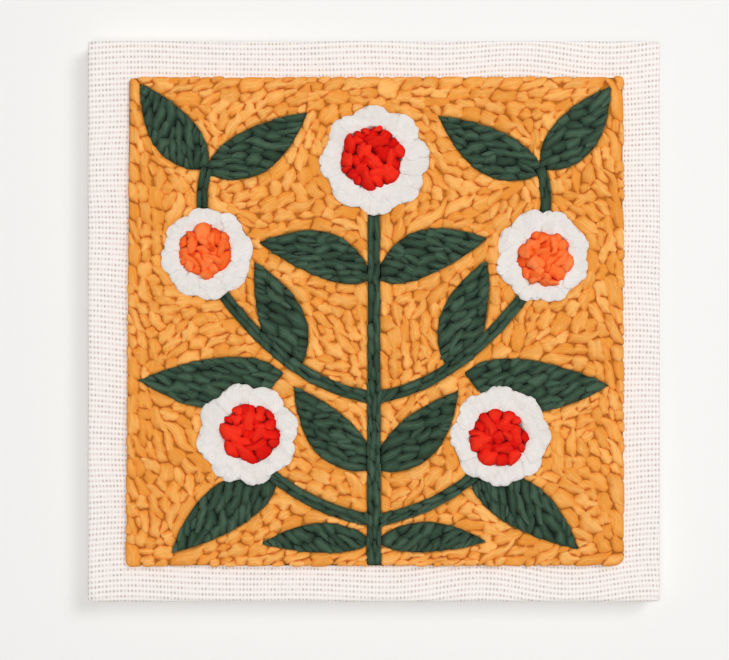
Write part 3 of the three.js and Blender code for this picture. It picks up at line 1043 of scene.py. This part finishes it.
class EMBROIDERY_OT_stage(bpy.types.Operator):
    """Sets the floor, the lamps, the world and the camera"""

    bl_idname = "embroidery.stage"
    bl_label = "Stage"

    camera_place = (-4.9 * MM, -4.6 * MM)
    floor_reach = 8e3
    # Each lamp's place and width in metres, and its power in watts.
    lamps = (
        ("Key lamp", (1.32, 1.08, 2.4), 1.3, 26.0),
        ("Top lamp", (-0.1, -0.1, 2.6), 1.4, 29.0),
    )
    key_way = (0.77, 0.63, 0.0)
    ambient = 0.33
    backdrop = 0.93

    def execute(self, context):
        scene = context.scene
        settings = scene.embroidery_stage
        scene.view_settings.view_transform = "Standard"
        camera = bpy.data.objects.new("Camera", bpy.data.cameras.new("Camera"))
        camera.data.lens = settings.lens
        camera.data.clip_end = 50.0
        distance = settings.seen_width * settings.lens / camera.data.sensor_width
        camera.location = (*self.camera_place, FACE * MM + distance)
        scene.collection.objects.link(camera)
        scene.camera = camera
        corners = np.array([[-1, -1, 0], [1, -1, 0], [1, 1, 0], [-1, 1, 0]])
        floor = mesh_piece("floor", self.floor_reach * corners, [np.array([[0, 1, 2, 3]])])
        floor.data.materials.append(self.floor_material(settings))
        for name, place, size, power in self.lamps:
            self.add_lamp(scene, name, place, size, power)
        world = bpy.data.worlds.new("World")
        world.use_nodes = True
        tree = world.node_tree
        background = tree.nodes["Background"]
        background.inputs["Color"].default_value = (1, 1, 1, 1)
        strength = stretched(tree, self.seen_ray(tree), 0.0, 1.0, self.ambient, self.backdrop)
        tree.links.new(strength, background.inputs["Strength"])
        scene.world = world
        return {"FINISHED"}

    @staticmethod
    def seen_ray(tree):
        """1 for rays that the camera, a mirror or glass sends out, and 0 for the rest."""
        rays = add_node(tree, "LightPath").outputs
        mirrored = calculate(tree, "MAXIMUM", rays["Is Glossy Ray"], rays["Is Transmission Ray"])
        return calculate(tree, "MAXIMUM", rays["Is Camera Ray"], mirrored)

    def floor_material(self, settings):
        """A pale floor that takes the object's shadow and is evenly pale on the lamp's side and far
        off."""
        material, tree, surface = new_material("Pale floor")
        colour = opaque(settings.floor)
        matt = {"Base Color": colour, "Roughness": 0.9, "Specular IOR Level": 0.1}
        lit = add_node(tree, "BsdfPrincipled", matt).outputs[0]
        even = add_node(tree, "Emission", {"Color": colour, "Strength": 1.0}).outputs[0]
        place = add_node(tree, "NewGeometry").outputs["Position"]
        far = stretched(tree, on_vector(tree, "LENGTH", {0: place}, "Value"), 0.25, 1.0)
        key_side = on_vector(tree, "DOT_PRODUCT", {0: place, 1: self.key_way}, "Value")
        far = calculate(tree, "MAXIMUM", far, stretched(tree, key_side, 0.0, 0.12, 0.0, 0.75))
        share = calculate(tree, "MULTIPLY", far, self.seen_ray(tree))
        mixed = add_node(tree, "MixShader", {0: share, 1: lit, 2: even})
        tree.links.new(mixed.outputs[0], surface)
        return material

    @staticmethod
    def add_lamp(scene, name, place, size, power):
        """Adds a round lamp that points at the middle of the floor."""
        lamp = bpy.data.objects.new(name, bpy.data.lights.new(name, "AREA"))
        lamp.data.shape = "DISK"
        lamp.data.size = size
        lamp.data.energy = power
        lamp.location = place
        aim = -lamp.location
        lamp.rotation_mode = "QUATERNION"
        lamp.rotation_quaternion = aim.to_track_quat("-Z", "Y")
        scene.collection.objects.link(lamp)


class EMBROIDERY_OT_bars(bpy.types.Operator):
    """Gives the four frame bars their wood, with the grain along each bar"""

    bl_idname = "embroidery.bars"
    bl_label = "Frame bars"

    def execute(self, context):
        settings = context.scene.embroidery_wood
        across = wood_material("Pine across", 0.0, settings)
        upright = wood_material("Pine upright", math.pi / 2, settings)
        for node in BARS:
            low, high = node_box(node)
            wood = across if high[0] - low[0] > high[1] - low[1] else upright
            for slot in frame["nodes"][node].material_slots:
                slot.material = wood
        return {"FINISHED"}


def wandered(flat, amount):
    """Weave coordinates pulled about, as the stitches draw the threads."""
    across = amount * ripple(flat * [0.35, 1.0], 46.0, seed=31)
    up = -amount * ripple(flat * [1.0, 0.35], 62.0, seed=32)
    return flat + np.stack([0.45 * across, up], axis=-1)


def grid_quads(index):
    """The quads between neighbouring rows and columns of a grid of point numbers."""
    quads = [index[:-1, :-1], index[:-1, 1:], index[1:, 1:], index[1:, :-1]]
    return np.stack(quads, axis=-1).reshape(-1, 4)


class Sheet:
    """A sheet that grows grid by grid, with its flat place on the cloth at each quad's corners."""

    def __init__(self):
        self.points = np.empty((0, 3))
        self.quads = []
        self.weave = []

    def add(self, points):
        """Adds a grid of points, and gives the grid of their numbers."""
        numbers = len(self.points) + np.arange(points[..., 0].size)
        self.points = np.concatenate([self.points, points.reshape(-1, 3)])
        return numbers.reshape(points.shape[:-1])

    def cover(self, index, flat, order=-1):
        """Lays quads over a grid of point numbers with a flat place for each. order is 1 where the
        grid runs anticlockwise, seen from outside, and -1 where it doesn't."""
        corners = grid_quads(np.arange(index.size).reshape(index.shape))
        self.quads.append(grid_quads(index)[:, ::order])
        self.weave.append(flat.reshape(-1, 2)[corners][:, ::order])


class EMBROIDERY_OT_cloth(bpy.types.Operator):
    """Stretches the cotton over the frame, with its edges turned over onto the back"""

    bl_idname = "embroidery.cloth"
    bl_label = "Cloth"

    edge = 2.0
    edge_steps = 5
    side_steps = 6
    turnover = 28.0
    turnover_steps = 8
    face_steps = (101, 99)
    corner_steps = 5
    mitre_gap = 0.4
    mitre_cut = 0.6
    pucker_depth = 0.12

    def execute(self, context):
        settings = context.scene.embroidery_cloth
        self.lay_profile()
        inner = (CLOTH_HIGH - CLOTH_LOW)[:2] / 2 - self.edge
        columns, rows = (np.linspace(-x, x, steps) for x, steps in zip(inner, self.face_steps))
        flat = np.stack(np.meshgrid(columns, rows), axis=-1)
        sheet = Sheet()
        index = sheet.add(lifted(flat, FACE))
        sheet.cover(index, flat, order=1)
        rims = (
            (index[0], flat[0], (0, -1)),
            (index[:, -1], flat[:, -1], (1, 0)),
            (index[-1, ::-1], flat[-1, ::-1], (0, 1)),
            (index[::-1, 0], flat[::-1, 0], (-1, 0)),
        )
        sides = [self.side(sheet, rim, start, np.array(out)) for rim, start, out in rims]
        for side, following in zip(sides, sides[1:] + sides[:1]):
            self.corner(sheet, inner, side, following)
        for side in sides:
            self.flap(sheet, *side)
        points = sheet.points
        points[:, 2] += self.pucker(points)
        weave = wandered(np.concatenate(sheet.weave), settings.wander / MM)
        quads = np.concatenate(sheet.quads)
        cloth = mesh_piece("cotton_cloth", points, [quads], uv_maps=[("Weave", weave)])
        thickness = cloth.modifiers.new("Thickness", "SOLIDIFY")
        thickness.thickness = 0.8 * CLOTH_THICKNESS * MM
        thickness.offset = -1.0
        finish_piece(cloth, weave_material(settings), "ground_cloth")
        return {"FINISHED"}

    def lay_profile(self):
        """From the face's rim over the cloth's edge, down its side and under: the path, as pairs of
        the distance outwards and the height, the cloth's own run to each, and how many of them lie
        before the turned-over edge."""
        edge = self.edge
        angles = np.linspace(0, math.pi / 2, self.edge_steps + 1)
        arc = [(edge * math.sin(a), FACE - edge + edge * math.cos(a)) for a in angles]
        heights = np.linspace(FACE - edge, edge, self.side_steps + 1)
        side = [(edge, height) for height in heights[1:-1]]
        under = [(edge * math.cos(a), edge - edge * math.sin(a)) for a in angles]
        reaches = np.linspace(edge, self.turnover, self.turnover_steps + 1)
        back = [(edge - reach, 0.0) for reach in reaches[1:]]
        self.path = np.array(arc + side + under + back)
        lengths = np.linalg.norm(np.diff(self.path, axis=0), axis=1)
        self.run = np.concatenate([[0], np.cumsum(lengths)])
        self.turn = len(arc + side + under)

    def side(self, sheet, rim, start, out):
        """One side of the cloth: its grid of point numbers, their flat places and its way out."""
        path = self.path[1 : self.turn]
        strip = sheet.add(lifted(start + out * path[:, :1, None], path[:, 1:]))
        grid = np.concatenate([rim[None], strip])
        flat = start + out * self.run[: self.turn, None, None]
        sheet.cover(grid, flat)
        return grid, flat, out

    def corner(self, sheet, inner, side, following):
        """The rounded corner between one side and the next."""
        grid, flat, out = side
        path = self.path[1 : self.turn]
        middle = (out + following[2]) * inner
        turn_from = math.atan2(out[1], out[0])
        columns = [grid[:, -1]]
        for step in range(1, self.corner_steps):
            way = unit(turn_from + math.pi / 2 * step / self.corner_steps)
            added = sheet.add(lifted(middle + way * path[:, :1], path[:, 1]))
            columns.append(np.concatenate([grid[:1, -1], added]))
        columns.append(following[0][:, 0])
        spread = np.arange(self.corner_steps + 1) * self.edge * math.pi / 2 / self.corner_steps
        sheet.cover(np.array(columns).T, flat[:, -1:] + aside(out) * spread[:, None])

    def flap(self, sheet, grid, flat, out):
        """The turned-over edge of one side, mitred at both ends."""
        rim, start = grid[-1], flat[-1]
        known = sheet.points[rim, :2]
        path, last = self.path[self.turn :], self.turn - 1
        beside = aside(out)
        along = known @ beside
        half = np.abs(along).max()
        inward = self.path[last, 0] - path[:, :1]
        kept = (along * (half - inward - self.mitre_gap) / half)[..., None]
        plan = beside * kept + out * (known @ out - inward)[..., None]
        beyond = start @ out + self.run[self.turn :, None] - self.run[last]
        places = beside * kept + out * beyond[..., None]
        strip = sheet.add(lifted(plan, path[:, 1:]))
        sheet.cover(np.concatenate([rim[None], strip]), np.concatenate([start[None], places]))

    def pucker(self, points):
        """A slight unevenness of the face, where the stitches draw the cloth in."""
        near_edge = np.abs(points[:, :2]) / (CLOTH_HIGH[:2] - 4)
        face = np.clip((points[:, 2] - FACE + 0.5) / 0.5, 0, 1)
        hold = np.clip((1 - near_edge.max(axis=1)) * 14, 0, 1)
        return -self.pucker_depth * face * hold * (1 + ripple(points[:, :2], 21.0, seed=41))


class EMBROIDERY_OT_ground(bpy.types.Operator):
    """Fills the field round the design with ochre stitches"""

    bl_idname = "embroidery.ground"
    bl_label = "Ground stitches"

    quarters = (
        ("top_left", -1, 1),
        ("top_right", 1, 1),
        ("low_left", -1, -1),
        ("low_right", 1, -1),
    )

    def execute(self, context):
        settings = context.scene.embroidery_ground
        colours = wool_colours(settings)
        wool = wool_material("Ochre wool", colours, 0.035, (0.32, 0.78), streaks=0.65)
        patch = Patch("ground_stitches")
        low, high = WOOL_LOW[:2], WOOL_HIGH[:2]

        def inset(points):
            """How far points lie inside the field's straight outer edge."""
            return np.minimum(points - low, high - points).min(axis=1)

        def rim(points, reach):
            """How near points are to that edge, from 0 to 1."""
            return np.clip(1.4 - inset(points) / reach, 0, 1)

        def heading(points):
            wander = settings.wander * ripple(points, 60.0, seed=51)
            wide = np.clip((patch.sample(patch.depth, points) - 2.0) / 5.0, 0, 1)
            return patch.outline_heading(points) + wide * wander * (1 - 0.85 * rim(points, 7.0))

        def longer(points):
            right = points[:, 0] > 0.6 * high[0]
            return 1 + (0.2 + 0.7 * right) * rim(points, 6.0)

        length, width = settings.length / MM, settings.width / MM
        packed = Stitches(
            patch, heading, length, width, np.random.default_rng(61), bend=0.016, twist=0.006,
            variety=0.3, lean=math.radians(10), longer=longer
        )
        height = WOOL_TOP - FACE - 0.35
        plump = Plumpness(
            height, side=(0.0, 0.76), end=(0.0, 0.93), lap=0.2, overhang=(0.2, 0.8), lump=1.8,
            dash=5.5, slope=0.3, farthest=1.6
        )
        arrays = stitch_arrays(packed, plump, 61)
        # The bed's crest of 0.45 gives it partly the painted crease shade.
        beds = [
            bed_arrays(patch, 0.55 * height, crest=0.45, drawn_in=lambda points: inset(points) < 1.5)
        ]
        for name, sign_x, sign_y in self.quarters:
            x, y = packed.middle.T
            chosen = (x * sign_x > 0) & (y * sign_y > 0)
            piece = stitched_piece(f"ochre_wool_{name}", merged(arrays, chosen), *beds)
            finish_piece(piece, wool, "ground_stitches")
            beds = []
        return {"FINISHED"}


class EMBROIDERY_OT_leaves(bpy.types.Operator):
    """Works the leaves and stems in green stitches"""

    bl_idname = "embroidery.leaves"
    bl_label = "Leaves and stems"

    # crest sets how much painted crease shade the bed shows.
    bed = {"height": 2.2, "crest": 0.3}

    def execute(self, context):
        settings = context.scene.embroidery_leaf
        wool = wool_material("Green wool", wool_colours(settings), 0.035, (0.36, 0.92), bump=0.4)
        length, width = settings.length / MM, settings.width / MM
        height = WOOL_TOP - FACE - 0.25
        plump = Plumpness(
            height, side=(0.1, 0.6), end=(0.45, 0.98), lap=0.22, overhang=(0.2, 0.8), lump=1.3,
            dash=7.0, slope=0.75
        )
        for number, node in enumerate(LEAVES):
            patch = Patch(node)
            rng = np.random.default_rng(100 + number)
            slant = settings.slant * rng.choice([-1, 1]) * rng.uniform(0.5, 1.5)

            def heading(points, patch=patch, slant=slant):
                return patch.axis + slant + 0.22 * ripple(points, 22.0, seed=52)

            twist, lean = -math.copysign(0.005, slant), math.copysign(0.16, slant)
            packed = Stitches(
                patch, heading, length, width, rng, bend=0.01, twist=twist, variety=0.3, lean=lean
            )
            fill_patch(packed, plump, 200 + number, self.bed, wool)
        for number, node in enumerate(STEMS):
            patch = Patch(node)
            rng = np.random.default_rng(130 + number)
            packed = Stitches(patch, patch.outline_heading, length, 0.75 * width, rng, bend=0.004)
            fill_patch(packed, plump, 230 + number, self.bed, wool)
        return {"FINISHED"}


class EMBROIDERY_OT_petals(bpy.types.Operator):
    """Works the petals of the blossoms in white stitches that run outwards"""

    bl_idname = "embroidery.petals"
    bl_label = "Petals"

    # crest sets how much painted crease shade the bed shows.
    bed = {"height": 3.4, "crest": 0.6, "spread": 0.1}

    def execute(self, context):
        settings = context.scene.embroidery_petal
        wool = wool_material(
            "White wool", wool_colours(settings), 0.012, (0.3, 0.8), bump=0.05, sheen=0.1, streaks=0.15
        )
        length, width = settings.length / MM, settings.width / MM
        height = WOOL_TOP - FACE - 0.1
        plump = Plumpness(
            height, side=(0.92, 1.0), end=(0.92, 1.0), lap=0.8, overhang=(0.6, 1.0), lump=2.0,
            dash=10.0, rim=0.78, unevenness=0.04
        )
        for number, name in enumerate(BLOSSOMS):
            low, high = node_box(f"tuft_{name}")
            heart = ((low + high) / 2)[:2]

            def heading(points, heart=heart):
                return angle_from(heart, points) + 0.9 * ripple(points, 20.0, seed=53)

            rng = np.random.default_rng(300 + number)
            packed = Stitches(Patch(f"petals_{name}"), heading, length, width, rng, bend=0.01)
            fill_patch(packed, plump, 320 + number, self.bed, wool)
        return {"FINISHED"}


LOOP_STEPS = 17
LOOP_SIDES = 14
LOOP_FLATNESS = 0.88
LOOP_SHADE = 0.45


def loop_arrays(places, heading, span, yarn, bow, top, foot, rng):
    """Points, faces, strands and crests of arched loops of thick yarn, which bow to one side."""
    count = len(places)
    arch = np.linspace(0, math.pi, LOOP_STEPS)[None]
    along = -np.cos(arch) * span[:, None] / 2
    across = bow[:, None] * (np.sin(arch) - 0.6)
    ahead = unit(heading)
    beside = aside(ahead)
    plan = places[:, None] + along[..., None] * ahead[:, None] + across[..., None] * beside[:, None]
    ridge = top - 0.46 * yarn
    line = lifted(plan, foot[:, None] + (ridge - foot)[:, None] * np.sin(arch) ** 0.55)
    run = np.gradient(line, axis=1)
    run /= np.linalg.norm(run, axis=2, keepdims=True)
    side = lifted(beside, 0.0)[:, None]
    up = np.cross(run, side)
    swell = 1 + 0.10 * np.sin(arch * rng.uniform(1, 3, (count, 1)) + rng.uniform(0, 6, (count, 1)))
    radius = (yarn[:, None] / 2 * swell)[:, :, None, None]
    round_about = FULL_TURN * np.arange(LOOP_SIDES) / LOOP_SIDES
    ring = (
        np.cos(round_about)[None, None, :, None] * side[:, :, None]
        + LOOP_FLATNESS * np.sin(round_about)[None, None, :, None] * up[:, :, None]
    )
    points = line[:, :, None] + radius * ring
    points = points + 0.22 * ripple(points[..., :2], 3.4, seed=77)[..., None] * ring
    points[..., 2] = np.maximum(points[..., 2], FACE + 0.1)
    # Painted shade: the crest, and with it the wool's colour, falls towards the crease colour lower
    # down each loop and where it touches another loop.
    below = (top[:, None, None] - points[..., 2]) / (0.9 * yarn[:, None, None])
    crest = 1 - LOOP_SHADE * np.clip(below, 0, 1) ** 2
    crest = crest * (0.7 + 0.3 * clearance(points, line, yarn / 2))

    lengths = np.linalg.norm(np.diff(line, axis=1), axis=2)
    walked = np.concatenate([np.zeros((count, 1)), np.cumsum(lengths, axis=1)], axis=1)
    strand = np.broadcast_arrays(
        walked[:, :, None] + APART * np.arange(count)[:, None, None],
        round_about * yarn[:, None, None] / 2,
        rng.uniform(-1, 1, count)[:, None, None],
    )
    strand = np.stack(strand, axis=-1).reshape(count, -1, 3)
    index = np.arange(LOOP_STEPS * LOOP_SIDES).reshape(LOOP_STEPS, LOOP_SIDES)
    around = np.roll(index, -1, axis=1)
    tube = np.stack([index[:-1], index[1:], around[1:], around[:-1]], axis=-1).reshape(-1, 4)
    caps = np.stack([index[0, ::-1], index[-1]])
    first = (np.arange(count) * index.size)[:, None, None]
    points, crest = points.reshape(count, -1, 3), crest.reshape(count, -1)
    return points, [tube + first, caps + first], strand, crest


def clearance(points, lines, radii, soft=0.9):
    """How clear each point of each loop is of the other loops, from 0 where they touch to 1."""
    clear = np.ones(points.shape[:3])
    for other, (line, radius) in enumerate(zip(lines, radii)):
        gap = np.linalg.norm(points[..., None, :] - line, axis=-1).min(axis=-1) - radius
        gap[other] = soft
        clear = np.minimum(clear, np.clip(gap / soft, 0, 1))
    return clear


class EMBROIDERY_OT_tufts(bpy.types.Operator):
    """Heaps thick red or orange yarn in the hearts of the blossoms"""

    bl_idname = "embroidery.tufts"
    bl_label = "Looped hearts"

    fall = 0.26
    # crest sets how much painted crease shade the bed shows.
    bed = {"height": 2.6, "crest": 0.4, "spread": -0.8}

    def execute(self, context):
        settings = context.scene.embroidery_tuft
        reds = (settings.red, settings.red_shade, settings.red_crown)
        oranges = (settings.orange, settings.orange_shade, settings.orange_crown)
        red = wool_material(
            "Red wool", reds, 0.07, (0.5, 0.9), bump=0.25, sheen=0.06, streaks=0.5
        )
        orange = wool_material(
            "Orange wool", oranges, 0.06, (0.55, 0.92), bump=0.3, sheen=0.1, streaks=0.5
        )
        slots = {row["node"]: row["material_slot"] for row in frame["record"]["subparts"]}
        for number, name in enumerate(BLOSSOMS):
            node = f"tuft_{name}"
            is_red = slots[node] == "red_wool"
            wool = red if is_red else orange
            yarn = (settings.red_yarn if is_red else settings.orange_yarn) / MM
            finish_piece(self.tuft(node, yarn, is_red, 400 + number), wool, node)
        return {"FINISHED"}

    def tuft(self, node, yarn, is_red, seed):
        """A mound of short, fat passes of yarn with an uneven rim, and a few loops over its top."""
        patch = Patch(node)
        low, high = node_box(node)
        middle = ((low + high) / 2)[:2]
        reach = (high - low)[:2].mean() / 2
        height = high[2] - FACE - 0.5
        rng = np.random.default_rng(seed)

        def crown(points):
            """How high the mound is over flat points, as a share of its middle's height."""
            share = np.linalg.norm(points - middle, axis=-1) / reach
            return 1 - self.fall * np.clip(share, 0, 1.2) ** 2

        def heading(points):
            return angle_from(middle, points) + 1.1 * ripple(points, 15.0, seed)

        bend = 0.02 if is_red else 0.04
        packed = Stitches(patch, heading, 1.5 * yarn, yarn, rng, bend, variety=0.32, lean=0.2)
        crease = (0.5, 0.84) if is_red else (0.6, 0.92)
        plump = Plumpness(
            height, side=crease, end=crease, lap=0.15, overhang=(0.9, 2.7), lump=1.6, dash=6.0,
            slope=0.55, rim=0.5, unevenness=0.1
        )
        arrays = stitch_arrays(packed, plump, seed)
        points = arrays[0]
        points[..., 2] = FACE + (points[..., 2] - FACE) * crown(points[..., :2])

        over = 5 if is_red else 7
        turn = (np.arange(over) + rng.uniform(-0.3, 0.3, over)) * FULL_TURN / over
        out = reach * rng.uniform(0.25, 0.62, over)
        places = middle + out[:, None] * unit(turn)
        mound = FACE + height * crown(places)
        loops = loop_arrays(
            places,
            turn + rng.uniform(0.5, 2.2, over),
            yarn * rng.uniform(1.5, 2.1, over),
            0.85 * yarn * np.exp(rng.normal(0, 0.1, over)),
            rng.choice([-1, 1], over) * rng.uniform(0.3, 0.6 if is_red else 2.6, over),
            mound + rng.uniform(0.3, 1.0, over),
            mound - 3.2,
            rng,
        )
        bed = bed_arrays(patch, **self.bed)
        return stitched_piece(f"{node}_loops", merged(arrays), merged(loops), bed)


class EMBROIDERY_PT_panel(bpy.types.Panel):
    """Lists the settings and the steps"""

    bl_idname = "EMBROIDERY_PT_panel"
    bl_label = "Embroidered Square"
    bl_space_type = "VIEW_3D"
    bl_region_type = "UI"
    bl_category = "Embroidery"

    def draw(self, context):
        for key, group in SETTINGS.items():
            box = self.layout.box()
            box.label(text=key.replace("_", " ").capitalize())
            for field in group.__annotations__:
                box.prop(getattr(context.scene, f"embroidery_{key}"), field)
        for operator in OPERATORS:
            self.layout.operator(operator.bl_idname)


SETTINGS = {
    "stage": StageSettings,
    "wood": WoodSettings,
    "cloth": ClothSettings,
    "ground": GroundSettings,
    "leaf": LeafSettings,
    "petal": PetalSettings,
    "tuft": TuftSettings,
}
OPERATORS = (
    EMBROIDERY_OT_stage,
    EMBROIDERY_OT_bars,
    EMBROIDERY_OT_cloth,
    EMBROIDERY_OT_ground,
    EMBROIDERY_OT_leaves,
    EMBROIDERY_OT_petals,
    EMBROIDERY_OT_tufts,
)
CLASSES = (*SETTINGS.values(), *OPERATORS, EMBROIDERY_PT_panel)


def register():
    for cls in CLASSES:
        bpy.utils.register_class(cls)
    for key, group in SETTINGS.items():
        setattr(bpy.types.Scene, f"embroidery_{key}", bpy.props.PointerProperty(type=group))


def unregister():
    for key in SETTINGS:
        delattr(bpy.types.Scene, f"embroidery_{key}")
    for cls in reversed(CLASSES):
        bpy.utils.unregister_class(cls)


def main():
    register()
    bpy.ops.embroidery.stage()
    bpy.ops.embroidery.bars()
    bpy.ops.embroidery.cloth()
    bpy.ops.embroidery.ground()
    bpy.ops.embroidery.leaves()
    bpy.ops.embroidery.petals()
    bpy.ops.embroidery.tufts()


if __name__ == "__main__":
    main()
